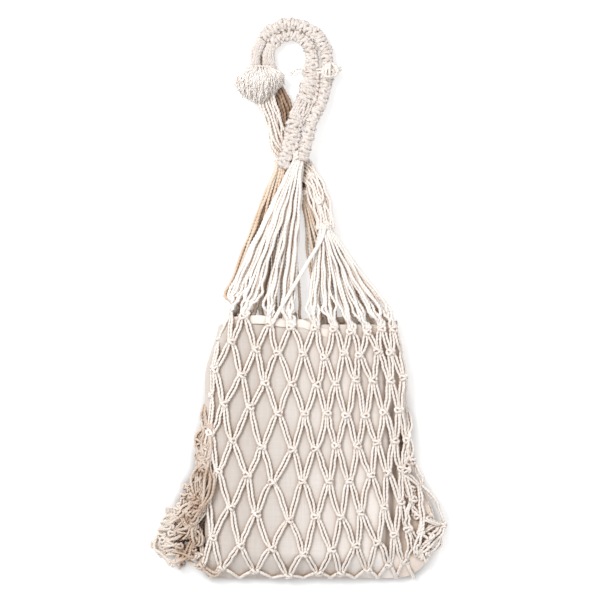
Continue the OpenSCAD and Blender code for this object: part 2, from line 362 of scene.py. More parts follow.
# ---------------------------------------------------------------- the pouch

def pouch_half_w(y, side):
    """Half width of the pouch at y: drawn in at the mouth, and with its loose corner on the right."""
    drawn_in = 16 * smooth(-90, -20, y) if side < 0 else 5 * smooth(-60, -20, y)
    corner = 34 * smooth(-155, -245, y) if side > 0 else 0
    round_r = 40 if side > 0 else 8
    t = np.clip((CLOTH_EDGE + round_r - y) / round_r, 0, 1)
    return POUCH_HALF_W - drawn_in + corner - round_r * (1 - np.sqrt(1 - t * t))


def ripple(x, y):
    """Gentle waves in the cloth, in millimetres."""
    return (0.9 * np.sin(x / 23 + 1.3 * np.sin(y / 61)) * np.cos(y / 47 + 0.5)
            + 0.5 * np.sin(x / 9.5 + y / 31) * np.sin(y / 19))


def seam_drop(y):
    """How far the bottom seam sinks below the middle height of the pouch."""
    return 8 * smooth(CLOTH_EDGE + 30, CLOTH_EDGE, y)


def pouch_sheet(name, side, nodes_replaced):
    """One panel of the pouch, front (side 1) or back (side -1), as a bulging sheet."""
    across, along = 150, 170
    angle = np.linspace(0, math.pi, across)
    t = np.linspace(0, 1, along)
    a, t = np.meshgrid(angle, t)
    y = CLOTH_EDGE + (POUCH_MOUTH - 3 - CLOTH_EDGE) * t
    c = np.cos(a)
    half_w = np.where(c > 0, pouch_half_w(y, 1), pouch_half_w(y, -1))
    x = POUCH_X + half_w * np.sign(c) * np.abs(c) ** SQUARE_X
    rise = np.sin(a) ** SQUARE_Z * np.sqrt(smooth(CLOTH_EDGE + 1, CLOTH_EDGE + 29, y))
    z = POUCH_MID_Z - seam_drop(y) + side * (0.15 + (POUCH_HALF_H - 0.4) * rise)
    if side > 0:
        z = z + ripple(x, y) * rise * smooth(0.15, 0.6, rise)
        # the fold between the pouch and its loose corner
        crease = POUCH_X + 96 + 4 * np.sin(y / 40)
        depth = 7 * smooth(-30, -110, y) * smooth(POUCH_BOTTOM, POUCH_BOTTOM + 30, y)
        z = z - depth * np.exp(-((x - crease) / 4.5) ** 2) - depth * 0.55 * smooth(crease, crease + 12, x)
    points = np.stack([x, y, z], -1).reshape(-1, 3)
    i, k = np.meshgrid(np.arange(along - 1), np.arange(across - 1), indexing="ij")
    at = i * across + k
    quads = np.stack([at, at + across, at + across + 1, at + 1], -1).reshape(-1, 4)
    if side < 0:
        quads = quads[:, ::-1]
    sheet = mesh_object(name, points, quads, np.zeros((0, 3), int), CLOTH)
    thicken(sheet, CLOTH_THICK)
    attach(sheet, "bag")
    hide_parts(*nodes_replaced)


def thicken(thing, thickness):
    """Gives a sheet its thickness, inwards, and applies it."""
    solid = thing.modifiers.new("thickness", "SOLIDIFY")
    solid.thickness = thickness * MM
    solid.offset = -1
    graph = bpy.context.evaluated_depsgraph_get()
    mesh = bpy.data.meshes.new_from_object(thing.evaluated_get(graph))
    thing.modifiers.clear()
    thing.data = mesh
    mesh.polygons.foreach_set("use_smooth", np.ones(len(mesh.polygons), bool))


# The hem's section, up its outer side and over to its inner one: how far towards the mouth, and how far out
HEM_SECTION = [(-1, -0.2), (-0.8, 0.7), (-0.6, 0.55), (0, 0.9), (0.6, 1.0), (0.95, 0.7), (1, 0), (0.95, -0.5),
               (0, -0.7)]


def mouth_hem():
    """The folded strip round the mouth, a little wavy, with the groove of its stitches.

    In front it lies higher on the left than on the right; behind, the other way round.
    """
    around, deep = 240, 10.0
    a = np.linspace(0, 2 * math.pi, around, endpoint=False)
    c, s = np.cos(a), np.sin(a)
    half_w = np.where(c > 0, pouch_half_w(POUCH_MOUTH, 1), pouch_half_w(POUCH_MOUTH, -1))
    x = POUCH_X + half_w * np.sign(c) * np.abs(c) ** SQUARE_X
    z = POUCH_MID_Z + (POUCH_HALF_H - 0.4) * np.sign(s) * np.abs(s) ** SQUARE_Z
    tilt = 6 * smooth(15, -25, x) - 6.5 * smooth(5, 30, x) + 2 * smooth(40, 60, x)
    behind = -2 + 7 * smooth(-20, 20, x) - 4 * smooth(70, 100, x)
    wave = np.where(s > 0, tilt + 1.8 * np.sin(x / 9 + 1) * smooth(40, -20, x) + 0.9 * np.sin(x / 7), behind)
    rings = []
    for along, out in HEM_SECTION:
        y = POUCH_MOUTH - deep / 2 + along * deep / 2 + wave
        swell = np.stack([x, y, z + np.sign(s) * out * np.abs(s) ** 0.5], -1)
        swell[:, 0] += np.sign(c) * out * np.abs(c) ** 4
        rings.append(swell)
    count = len(HEM_SECTION)
    points = np.concatenate(rings)
    i, k = np.meshgrid(np.arange(count), np.arange(around), indexing="ij")
    j, m = (i + 1) % count, (k + 1) % around
    quads = np.stack([i * around + k, j * around + k, j * around + m, i * around + m], -1).reshape(-1, 4)
    hem = mesh_object("mouth_hem", points, quads, np.zeros((0, 3), int), HEM)
    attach(hem, "bag")
    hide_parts("liner_mouth_hem")


# ---------------------------------------------------------------- the net

# Left (-1) and right (1): the net's half width low down, how much less it is at the mouth, how soon it widens
NET_SPREAD = {-1: (113, 27, 0.9), 1: (119, 13, 0.7)}


def net_half_w(v, side):
    """Half width of the net at row v."""
    full, drawn_in, spread = NET_SPREAD[side]
    return full - drawn_in * np.exp(-spread * v)


def net_fold(v, side):
    """How far the loose fold of net stands out beside the pouch at row v."""
    if side < 0:
        return 9 * smooth(2.5, 4.5, v) + 50 * smooth(4.9, 7.5, v) - 4 * smooth(7.6, 8, v)
    return 6 * smooth(3.0, 5.0, v) + 38 * smooth(5.2, 7.2, v) - 18 * smooth(7.2, 8, v)


def mesh_width(v):
    """Distance from one column of the spread net to the next at row v."""
    return 26 + 1.2 * v


# On the right the meshes are bunched: this share of their width, after a first one that is nearly whole
BUNCHED, FIRST_MESH = 0.67, 0.29


def front_columns(v, side):
    """How many columns from the middle the net lies over the pouch at row v."""
    meshes = net_half_w(v, side) / mesh_width(v)
    return meshes if side < 0 else (meshes - FIRST_MESH) / BUNCHED


def front_reach(a, v, side):
    """How far across the pouch the column a lies: it runs evenly, and then up to the pouch's edge."""
    columns = a if side < 0 else BUNCHED * a + FIRST_MESH * (1 - np.exp(-a))
    s = mesh_width(v) * columns / net_half_w(v, side)
    return net_half_w(v, side) * s / (1 + s**10) ** 0.1


def fold_columns(v, side):
    """How many columns of the net hang in its loose fold at row v; the right fold is the emptier one."""
    return 2.6 + (3.6 if side < 0 else 2.0) * smooth(1.5, 4.5, v)


BACK_Z = 3.4  # height of the net under the pouch
NET_TOP_Y = -30  # the row of knots at the mouth
BEND = 20  # how far the net runs while it turns under the pouch
BEND_Y = POUCH_BOTTOM + BEND
# The pleats of the loose fold: how far round it, how far out, and at what height
PLEAT_AT = [0, 0.28, 0.50, 0.74, 1]
PLEAT_OUT = [0, 1.0, 0.28, 0.80, 0]
PLEAT_Z = [25, 17, 25, 9, BACK_Z]


def net_run(v):
    """Distance from the mouth's knots down to row v, measured along the net."""
    return 30 * v + 0.9 * v * v - 5.5 * np.maximum(v - 6, 0) ** 2


def net_place(u, v):
    """A point of the net: u counts meshes from the middle column, v counts rows of knots down.

    Each row runs over the pouch, then through the pleats of the loose fold, then back under the pouch.
    """
    u, v = np.broadcast_arrays(np.asarray(u, float), np.asarray(v, float))
    left = u < 0
    a = np.abs(u)
    front = np.where(left, front_columns(v, -1), front_columns(v, 1))
    half_w = np.where(left, net_half_w(v, -1), net_half_w(v, 1))
    fold = np.where(left, net_fold(v, -1), net_fold(v, 1))
    # x: how far from the middle column
    over_pouch = np.minimum(a, front)
    on_pouch = np.where(left, front_reach(over_pouch, v, -1), front_reach(over_pouch, v, 1))
    edge = np.where(left, front_reach(front, v, -1), front_reach(front, v, 1))
    loose = np.where(left, fold_columns(v, -1), fold_columns(v, 1))
    w = np.clip((a - front) / loose, 0, 1)
    b = np.clip((a - front - loose) / (COLUMNS / 2 - front - loose), 0, 1)
    out = np.interp(w, PLEAT_AT, PLEAT_OUT)
    folded = edge + (half_w - 8 - edge) * np.sin(math.pi / 2 * np.minimum(3 * w, 1)) + fold * out
    reach = np.where(a <= front, on_pouch, folded * (1 - b))
    x = NET_X + np.where(left, -1, 1) * reach
    # y: down the pouch and round its bottom, higher towards the sides
    run = net_run(v)
    straight = NET_TOP_Y - BEND_Y
    bend = np.clip((run - straight) / BEND, 0, math.pi / 2)
    y = np.where(run < straight, NET_TOP_Y - run, BEND_Y - (BEND_Y - NET_BOTTOM) * np.sin(bend))
    share = np.minimum(reach / half_w, 1.1) ** 2
    raised = np.where(left, 22, 6 + 18 * smooth(3, 6, v))
    y = y + raised * share * smooth(-0.3, 2, v) * (1 - 0.3 * smooth(7, 8, v))
    y = y + np.where(left, 7, 5) * out * smooth(6, 8, v) * (b == 0)
    y = y + np.where(left, 15 * share, -5 * smooth(0, 30, reach)) * smooth(1.6, 0, v)
    y = y - 14 * smooth(0, 0.3, b) * smooth(1.5, 0, v)
    # z: on the pouch, down the side of it in the fold, and low under it
    over_cloth = POUCH_HALF_H + 2.2
    arc = np.sqrt(np.clip(1 - (np.minimum(reach, half_w) / (half_w + 1)) ** 8, 0, 1))
    top = POUCH_MID_Z + over_cloth * arc * np.cos(bend)
    rim_arc = np.sqrt(np.clip(1 - (edge / (half_w + 1)) ** 8, 0, 1))
    rim = POUCH_MID_Z + over_cloth * rim_arc * np.cos(bend)
    pleat = BACK_Z + (np.interp(w, PLEAT_AT, PLEAT_Z) - BACK_Z) * (0.3 + 0.7 * smooth(2.5, 4.5, v))
    side = rim + (pleat - rim) * smooth(0, 0.2, w)
    z = np.where(a <= front, top + ripple(x, y) * 0.8 - 0.7 * seam_drop(y), np.where(b > 0, BACK_Z, side))
    return np.stack([x, y, z], -1)


def knot_columns(row):
    """The columns of one row's knots, counted from the middle."""
    return np.arange(-COLUMNS // 2, COLUMNS // 2) + (0.5 if row % 2 == 0 else 0.0)


def crumple(u, v):
    """How crumpled the net is at (u, v): none on the pouch, most in the loose folds near the bottom."""
    side = -1 if u < 0 else 1
    front = front_columns(v, side)
    back = front + fold_columns(v, side)
    inside = smooth(front - 0.2, front + 0.8, abs(u)) * smooth(back + 0.3, back - 0.7, abs(u))
    return float(inside * smooth(3.0, 6.0, v) * (1.0 if u < 0 else 0.75))


def knot_shift(u, v):
    """The small way in which each knot lies off the regular lattice."""
    loose = crumple(u, v)
    spread = np.array([1.6 + 4.5 * loose, 1.5 + 5.5 * loose, 0.1 + 3.5 * loose])
    return rng.normal(0, 1, 3).clip(-1.8, 1.8) * spread


SHIFT = {(row, float(u)): knot_shift(u, row) for row in range(ROWS + 1) for u in knot_columns(row)}


def column_key(u):
    """Columns are counted round the net, so the far side's two edges meet."""
    half = COLUMNS / 2
    return float((u + half) % COLUMNS - half)


def knot_at(row, u):
    """Where a knot is; none sinks below the net's back."""
    place = net_place(column_key(u), row) + SHIFT[(row, column_key(u))]
    place[2] = max(place[2], BACK_Z)
    return place


def knot_axes(row, u):
    """Across, up and outward directions of the net at a knot."""
    e = 0.12
    across = net_place(u + e, row) - net_place(u - e, row)
    if part_of_net(row, u) == "net_front":
        across[2] *= 0.3  # knots near the pouch's edge lie flatter than the net there
    across = unit(across)
    along = net_place(u, row - e) - net_place(u, row + e)
    along = unit(along - across * np.dot(along, across))
    return across, along, np.cross(across, along)


# Where the four cords of a knot lie across it
LANES = np.array([-2.7, -0.9, 0.9, 2.7])


def tie_knot(cords, centre, axes, half_w=3.4, half_l=3.3, lift=2.4, radius=NET_R):
    """A square knot: two bars over the cords, leaning opposite ways, and a bight at each side."""
    across, along, outward = axes
    frame_of_knot = np.stack([across, along, outward])

    def lay(points):
        shape = np.array(points) * [half_w, half_l, lift]
        shape = shape + rng.normal(0, 0.12, shape.shape)
        cords.add(curve(centre + shape @ frame_of_knot, 5), radius, up=along)

    hand = rng.choice([-1, 1])
    lean = rng.uniform(0.3, 0.65) * hand
    for end, high in ((1, 1.1), (-1, 1.0)):
        lay([(-1.0, 0.35 * end - lean * end, 0.1), (-0.55, 0.46 * end - lean * end * 0.6, 0.85),
             (0, 0.44 * end, high),
             (0.55, 0.46 * end + lean * end * 0.6, 0.85), (1.0, 0.35 * end + lean * end, 0.1)])
    for side in (-1, 1):
        reach = 1.12 if side == hand else 0.98
        lay([(side * 0.5, 0.9, 0.2), (side * reach, 0.55, 0.55), (side * (reach + 0.12), 0, 0.6),
             (side * reach, -0.55, 0.55), (side * 0.5, -0.9, 0.2)])


def strand(cords, row, u, way):
    """The doubled cord from one knot to the next one down, to the left (way -1) or the right (way 1)."""
    far = u + 0.5 * way
    start, end = knot_at(row, u), knot_at(row + 1, far)
    near_axes, far_axes = knot_axes(row, column_key(u)), knot_axes(row + 1, column_key(far))
    near_lanes, far_lanes = (LANES[:2], LANES[2:]) if way < 0 else (LANES[2:], LANES[:2])
    s = np.array([0.27, 0.42, 0.58, 0.73])
    leave = start + near_axes[0] * np.mean(near_lanes)
    arrive = end + far_axes[0] * np.mean(far_lanes)
    line = leave + (arrive - leave) * s[:, None]
    middle = net_place(u + (far - u) * s, row + s) if abs(far) <= COLUMNS / 2 else line
    near_shift, far_shift = SHIFT[(row, column_key(u))], SHIFT[(row + 1, column_key(far))]
    middle = middle + near_shift * (1 - s[:, None]) + far_shift * s[:, None]
    loose = crumple(u, row + 0.5)
    middle[:, :2] = middle[:, :2] * loose + line[:, :2] * (1 - loose)
    bow = rng.normal(0, 1, 3) * np.array([1.0 + 5 * loose, 0.6 + 4 * loose, 3.0 * loose])
    middle = middle + np.sin(math.pi * s)[:, None] * bow
    wobble = rng.normal(0, 0.22 + 0.8 * loose, (4, 3)) * [1, 1, 0.3]
    ahead = unit(end - start)
    beside = unit(np.cross(unit(near_axes[2] + far_axes[2]), ahead))
    if np.dot(beside, near_axes[0]) < 0:
        beside = -beside
    middle[:, 2] = np.clip(middle[:, 2], LOOSE_LIE_Z, TOP_Z - 1)
    for lane in (0, 1):
        apart = (lane - 0.5) * (2 * NET_R + rng.uniform(0.0, 0.5))
        own = rng.normal(0, 0.12 + 0.6 * loose, (4, 3)) * [1, 1, 0.3]
        body = middle + beside * apart + wobble + own
        out, back = start + near_axes[0] * near_lanes[lane], end + far_axes[0] * far_lanes[lane]
        path = [out, out + (body[0] - out) * 0.4, *body, back + (body[-1] - back) * 0.4, back]
        cords.add(curve(path, 6), NET_R)


def part_of_net(row, u):
    """Which piece of the net a column belongs to at this row."""
    side = -1 if u < 0 else 1
    front = front_columns(row, side) + 0.25
    if abs(u) <= front:
        return "net_front"
    if abs(u) <= front + fold_columns(row, side) - 0.5:
        return "net_left_side" if u < 0 else "net_right_side"
    return "net_back"


NET_PARTS = {"net_front": CORD, "net_back": CORD, "net_left_side": SHADED_CORD, "net_right_side": CORD,
             "net_bottom": CORD, "front_mouth_knots": CORD, "back_mouth_knots": SHADE_TAN_CORD}
CRUMPLED = {"net_left_side": 84, "net_right_side": 9}  # extra doubled cords in each loose fold
FACING_UP = (np.array([1.0, 0, 0]), np.array([0, 1.0, 0]), UP)  # axes of a knot that faces up


def crumpled(cords, side, count):
    """Doubled cords that wander inside a loose fold and fill it."""
    for _ in range(count):
        v = rng.uniform(4.2, 7.8)
        w = rng.uniform(0.1, 0.95)
        t = np.linspace(0, 1, 7)
        rows = np.minimum(v + t * rng.uniform(0.5, 1.0), 8)
        around = w + np.cumsum(rng.normal(0, 0.05, 7))
        columns = front_columns(rows, side) + fold_columns(rows, side) * np.clip(around, 0.05, 0.98)
        path = net_place(side * columns, rows) + rng.normal(0, 2.2, (7, 3)) * [1, 1, 1.2]
        path[:, 2] = np.clip(path[:, 2] - 2, 2.5, 24)
        for apart in (-1.5, 1.5):
            cords.add(curve(path + [apart, 0, 0] + rng.normal(0, 0.5, (7, 3)), 6), CORD_R)
        tie_knot(cords, path[0] + [0, 0, 0.5], FACING_UP, radius=CORD_R)


def build_net():
    """The whole net, as one piece for each of its parts."""
    parts = {name: Cords() for name in NET_PARTS}
    for side, name in ((-1, "net_left_side"), (1, "net_right_side")):
        crumpled(parts[name], side, CRUMPLED[name])
    for row in range(ROWS + 1):
        for u in knot_columns(row):
            name = part_of_net(row, u)
            home = name
            if row == 0:
                home = "front_mouth_knots" if name == "net_front" else "back_mouth_knots"
            elif row == ROWS and name in ("net_front", "net_back"):
                home = "net_bottom"
            axes = knot_axes(row, u)
            lift = 2.4 if axes[2][2] > 0 else 1.4
            tie_knot(parts[home], knot_at(row, u), axes, rng.uniform(3.1, 3.7), rng.uniform(3.0, 3.6), lift)
            if row < ROWS:
                for way in (-1, 1):
                    strand(parts[name], row, u, way)
    close_bottom(parts)
    for name, cords in parts.items():
        piece = cords.make(f"{name}_cords", NET_PARTS[name])
        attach(piece, "bag")
        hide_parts(name)


def close_bottom(parts):
    """Cords from the lowest knots in front, round the bottom seam, to those behind, and along the folds."""
    columns = knot_columns(ROWS)
    back = [u for u in columns if part_of_net(ROWS, u) == "net_back"]
    feet = np.array([knot_at(ROWS, u) for u in back])
    for u in columns:
        name = part_of_net(ROWS, u)
        top = knot_at(ROWS, u)
        if name == "net_front":
            for way in (-1, 1):
                between = (top[0] + net_place(u + way, ROWS)[0]) / 2
                edge = np.array([between, CLOTH_EDGE + 0.5, POUCH_MID_Z - 8])
                foot = feet[np.argmin(np.abs(feet[:, 0] - edge[0]))]
                for lane in LANES[:2] if way < 0 else LANES[2:]:
                    beside = np.array([lane * 0.5, 0, 0])
                    path = np.array([
                        top + [lane, 0, 0], (top + edge) / 2 + beside + [0, 0.5, 2.5], edge + beside,
                        foot * 0.6 + edge * 0.4 + beside - [0, 0, 3], foot])
                    path[:, 2] = np.maximum(path[:, 2], LIE_Z)
                    parts["net_bottom"].add(curve(path, 6), NET_R, up=(way, 0, 1))
        elif name != "net_back" and u + 1 < COLUMNS / 2:
            end = knot_at(ROWS, u + 1)
            for lane in (-1.7, 1.7):
                middle = (top + end) / 2 + [rng.normal(0, 2), -7 + rng.normal(0, 2), 0]
                parts[name].add(curve(np.array([top, middle, end]) + [0, lane, 0], 8), NET_R)


# ---------------------------------------------------------------- the fans of cords

# Where each fan closes up into a bundle
GATHERS = {
    "front_left": np.array([-0.5, 152.0, 17.0]),
    "front_right": np.array([29.5, 74.0, 17.5]),
    "back_left": np.array([-17.5, 144.0, 9.5]),
    "back_right": np.array([8.0, 112.0, 7.0]),
}
STRAY_COLUMN = -1.5  # one pair of cords from this knot crosses to the other fan


def crimp(run, length, size):
    """A random wave, at each share of a cord's run, as from the kinks of the knots it was undone from."""
    turn = math.pi * run * length / 90
    wave = sum(rng.normal(0, size / (k + 1) ** 0.5) * np.sin((2 * k + 3) * turn + rng.uniform(0, 6))
               for k in range(5))
    return wave * np.minimum(1, 6 * run) * np.minimum(1, 6 * (1 - run))


def fan_cord(cords, foot, axes, lane, end, mid_x, low_z):
    """One cord of a fan, from its knot at the mouth to its place in the bundle."""
    across, along, _ = axes
    low = np.array([mid_x, foot[1] + 20, low_z])
    t = np.linspace(0.1, 0.9, 5)[:, None]
    rise = low + (end - low) * t - [0, 0, 2] * np.sin(math.pi * t)
    body = curve([foot + across * lane, foot + across * lane * 1.2 + along * 6,
                  foot * 0.45 + low * 0.55 + [0, 2, 1], low, *rise, end, end + [0, 8, 0]], 8)
    run = np.linspace(0, 1, len(body))
    span = np.linalg.norm(end - foot)
    sideways = crimp(run, span, 0.9) * (1.25 - run)
    upwards = crimp(run, span, 0.4)
    body = body + np.stack([sideways, 0 * sideways, upwards], -1)
    body[:, 2] = np.clip(body[:, 2], LIE_Z, TOP_Z)
    cords.add(body, rng.uniform(1.85, 2.25), step=1.8)


# Where the outer cords of each fan are, just above the mouth, and how wide the fan is at its top
FAN_X = {"front_left": (-74, -7), "front_right": (8, 96), "back_left": (-84, -2), "back_right": (30, 80)}
FAN_TOP = {"front_left": 10, "front_right": 12, "back_left": 15, "back_right": 7}


def fan(name, columns, material):
    """The cords that rise from the mouth's knots in these columns and close up into one bundle."""
    cords = Cords()
    gather = GATHERS[name]
    front = name.startswith("front")
    # the cords that each knot sends up: six, four, or two in the back fans
    lanes = {"front_left": np.linspace(-3.4, 3.4, 6), "front_right": LANES}.get(name, LANES[::3])
    starts = [(u, lane) for u in columns for lane in lanes if not (u == STRAY_COLUMN and lane > 1)]
    even_x = np.linspace(*FAN_X[name], len(starts))
    for i, (u, lane) in enumerate(starts):
        foot = knot_at(0, u)
        layer = i % 3 - 1
        end = gather + [(i / (len(starts) - 1) - 0.5) * FAN_TOP[name], 0, layer * 2.8]
        end[2] = max(end[2], LIE_Z)
        mid_x = even_x[i] * 0.55 + (foot[0] + 2 * lane) * 0.45 + rng.normal(0, 0.7)
        low_z = foot[2] + 1.5 + layer if front else 5.5 + 3.2 * layer
        fan_cord(cords, foot, knot_axes(0, column_key(u)), lane, end, mid_x, low_z)
    if name == "front_right":
        foot = knot_at(0, STRAY_COLUMN)
        for lane in LANES[2:]:
            over = [foot + (gather - foot) * t + [lane * 0.8, 0, 2 + 6 * math.sin(math.pi * t)]
                    for t in (0.12, 0.3, 0.5, 0.7, 0.9)]
            cords.add(curve([foot + [lane, 0, 0], *over, gather + [lane - 2, 5, 5]], 8), NET_R)
    piece = cords.make(f"{name}_fan", material)
    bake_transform(piece)
    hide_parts(f"{name}_cords")


def build_fans():
    front = [u for u in knot_columns(0) if -4 < u < 6]
    back = [u for u in knot_columns(0) if not -4 < u < 6]
    fan("front_left", [u for u in front if u < 0], FAN_CORD)
    fan("front_right", [u for u in front if u > 0], FAN_CORD)
    fan("back_left", sorted((u for u in back if u < 0), key=lambda u: knot_at(0, u)[0]), SHADE_TAN_CORD)
    fan("back_right", sorted((u for u in back if u > 0), key=lambda u: knot_at(0, u)[0]), SHADE_TAN_CORD)


# ---------------------------------------------------------------- the handles

ARCH = (-8.0, 262.0)  # the middle of the straps' round top


def arch(centre, radius, z, w, h):
    """Half a turn of strap over the top, as route points [x, y, z, width, height]."""
    return [[centre[0] + radius * math.cos(a), centre[1] + radius * math.sin(a), z, w, h]
            for a in np.radians(np.arange(180, -1, -30))]


# The straps' routes from the big knot to where they cross, as [x, y, z, width, height]
OUTER_ROUTE = [[-47.5, 244, 8, 14, 12], *arch(ARCH, 39.5, 8, 13, 12), [31.4, 240, 9, 13, 12],
               [25.9, 217.8, 13, 12.5, 11], [16, 195.8, 17, 12.5, 11], [9.5, 172, 19, 12, 10],
               [6.5, 160, 21, 13, 9], [4.5, 150, 22.5, 13, 9]]
INNER_ROUTE = [[-32.7, 244, 7, 17, 10], *arch((ARCH[0] - 1.5, ARCH[1] + 5), 23.5, 7, 14, 10),
               [13.9, 240, 8, 20, 10], [7.7, 217.8, 12, 21, 10], [-1.65, 195.8, 16.5, 19, 10],
               [-8, 172, 18, 17, 9.5], [-14, 156, 17.5, 15, 9], [-17.5, 143, 17, 13, 8]]


PITCH = 7.6  # length of a knot in the straps


def sinnet(cords, route, bare):
    """A strap of square knots, one after another over core cords, which show in the bare stretches.

    bare lists where along the strap such stretches start and end.
    """
    step = 0.5
    line, length = even(curve(route, 10), step)
    ahead = unit(np.gradient(line[:, :3], axis=0))
    across = unit(np.cross(UP, ahead))
    over = np.cross(ahead, across)
    for lane in (-0.8, -0.25, 0.25, 0.8):
        room = (line[:, 3] / 2 - 4)[:, None]
        cords.add(line[::6, :3] + (across * lane * room)[::6] + over[::6] * 0.8, 1.9)
    for first, last in bare:
        piece = slice(int(first / step), int(last / step) + 1, 4)
        room, height = line[piece, 3:4] / 2 - 2.2, line[piece, 4:5] / 2 - 2.4
        for share in np.linspace(-1, 1, 7):
            for side in (-1, 1):
                bulge = over[piece] * height * side * math.sqrt(1 - 0.5 * share * share)
                wave = crimp(np.linspace(0, 1, len(room)), last - first, 0.6)[:, None]
                cords.add(line[piece, :3] + across[piece] * (share * room + wave) + bulge, 2.1)
    for at in np.arange(3, length - 3, PITCH):
        if any(first < at < last for first, last in bare):
            continue
        k = min(int(at / step), len(line) - 1)
        half_w = line[k, 3] / 2 - 2.4 + rng.uniform(-0.6, 0.6)
        half_h = line[k, 4] / 2 - 2.5
        lean = unit(across[k] + ahead[k] * rng.normal(0, 0.3))
        axes = (lean, unit(np.cross(over[k], lean)), over[k])
        centre = line[k, :3] + rng.normal(0, 0.4, 3)
        tie_knot(cords, centre + over[k] * 0.4, axes, half_w, PITCH / 2, half_h, radius=2.9)
        under = (lean, -axes[1], -over[k])
        tie_knot(cords, centre - over[k] * 0.4, under, half_w * 0.92, PITCH / 2, half_h, radius=2.5)


def strap(name, route, bare, nodes_replaced):
    cords = Cords()
    sinnet(cords, route, bare)
    piece = cords.make(name, STRAP_CORD)
    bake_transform(piece)
    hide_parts(*nodes_replaced)


# The routes of the cords from the big knot down to the right gathers
FRONT_LEG = [[-39, 228, 11], [-34, 212, 9], [-28.5, 196, 7], [-23, 178, 6], [-17.5, 166, 5.5],
             [-7, 153, 6], [6, 142, 8], [15, 130, 11], [20.5, 116, 13], [25.5, 102, 14.5],
             [28.6, 86, 16.5], [29.5, 76, 17.5]]
BACK_LEG = [[-26, 232, 8], [-17, 216, 5], [-12.7, 196, 4.5], [-14.5, 177, 3.6], [-14, 167, 3], [-3.5, 150, 3],
            [2, 136, 3.4], [4, 122, 6], [4.5, 112, 7]]
FRONT_LEG_KNOTS = ((13, 133, 11), (24, 107, 16))


def loose_leg(name, route, count, spread, material, nodes_replaced, knots=()):
    """A leg of straight cords that lie side by side, with small knots where they were tied together."""
    cords = Cords()
    line = curve(route, 6)
    ahead = unit(np.gradient(line, axis=0))
    across = unit(np.cross(UP, ahead))
    for i in range(count):
        lane = (i - (count - 1) / 2) * spread
        lift = rng.uniform(-0.6, 0.9) + (2.0 if i % 2 else 0)
        drift = crimp(np.linspace(0, 1, len(line)), 150, 0.9)[:, None]
        path = line + across * (lane + drift) + [0, 0, lift]
        path[:, 2] = np.maximum(path[:, 2], LOOSE_LIE_Z)
        cords.add(path, rng.uniform(1.7, 2.1))
    for knot in knots:
        ball(cords, np.array(knot, float), (5.0, 4.2), 12, 1.8)
    piece = cords.make(name, material)
    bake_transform(piece)
    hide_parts(*nodes_replaced)


def gather_wrap(name, turns, slant):
    """Turns of cord round the place where a fan becomes a bundle."""
    cords = Cords()
    at = GATHERS[name] + [0, 3, 0]
    for k in range(turns):
        lean = unit(np.array([1.0, slant + rng.uniform(-0.15, 0.15), 0]))
        cords.loop(at + [0, k * 2.6, 0], lean, UP, 6.4, 5.2, radius=2.0)
    ball(cords, at + [0, 2, 1.0], (6.2, 4.6), 9, 1.9)
    piece = cords.make(f"{name}_wrap", CORD)
    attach(piece, "handles")
    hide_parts(f"{name}_gather")


BIG_KNOT = np.array([-40.0, 236.0, 12.0])
SMALL_KNOT = np.array([34.5, 249.5, 18.5])
FRAYS = 620  # frayed ends in the skirt of the big knot


def ball(cords, centre, size, turns, radius=2.0):
    """A tight ball of cord: turns of every size and lean round one centre."""
    for share in np.linspace(0.25, 1, turns):
        a, tip = rng.uniform(0, math.pi), rng.uniform(-0.6, 0.6)
        across = unit(np.array([math.cos(a), math.sin(a), tip]))
        over = unit(np.cross(across, rng.normal(0, 1, 3)))
        cords.loop(centre, across, over, share * size[0], share * size[1], radius=radius)


def big_knot():
    """The bulky knot over both straps: a ball of turns under a skirt of frayed cord ends."""
    cords = Cords()
    ball(cords, BIG_KNOT, (13, 10), 22)
    for k in range(3):
        cords.loop(np.array([-41.0, 249.0 + 2.6 * k, 9.0]), np.array([1.0, 0, 0]), UP, 15.5, 7.5, radius=2.0)
    piece = cords.make("big_knot_turns", CORD)
    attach(piece, "grip")
    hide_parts("big_handle_knot")
    skirt = Cords()
    for _ in range(FRAYS):
        p = rng.uniform(-1, 1)  # from the skirt's left edge to its right one
        layer = rng.uniform(0, 1) ** 0.6
        t = np.linspace(0, 1, 9)
        first = rng.uniform(0, 0.45)  # how far down the bell this end starts to show
        down = first + (rng.uniform(0.6, 1.0) - first) * t
        long = 41 - 13 * p * p - (4 if p > 0.3 else 0)
        wide = 13 + 12.5 * smooth(0.0, 0.42, down)
        x = -41 + p * wide * (1 - 0.12 * smooth(0.7, 1, down)) - 1.5 * down
        y = 255 - down * long
        dome = np.sqrt(np.clip(1 - (p * 0.92) ** 2, 0, 1))
        dome = dome * (11 + 7 * np.sin(math.pi * np.clip(down, 0, 1) ** 0.8))
        z = 9 + dome * (0.35 + 0.65 * layer) - 6 * down**4
        curl = np.stack([np.convolve(rng.normal(0, 2.0, 11), [0.25, 0.5, 0.25], "valid")
                         for _ in range(3)], -1)
        curl *= smooth(0, 0.5, t)[:, None]
        path = np.stack([x, y, z], -1) + curl
        path[:, 2] = np.clip(path[:, 2], 1.5, TOP_Z)
        skirt.add(curve(path, 4), radius=(1.0, 0.55), sides=5, step=2.0)
    piece = skirt.make("big_knot_skirt", FRAY)
    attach(piece, "grip")
    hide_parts("big_knot_frays")


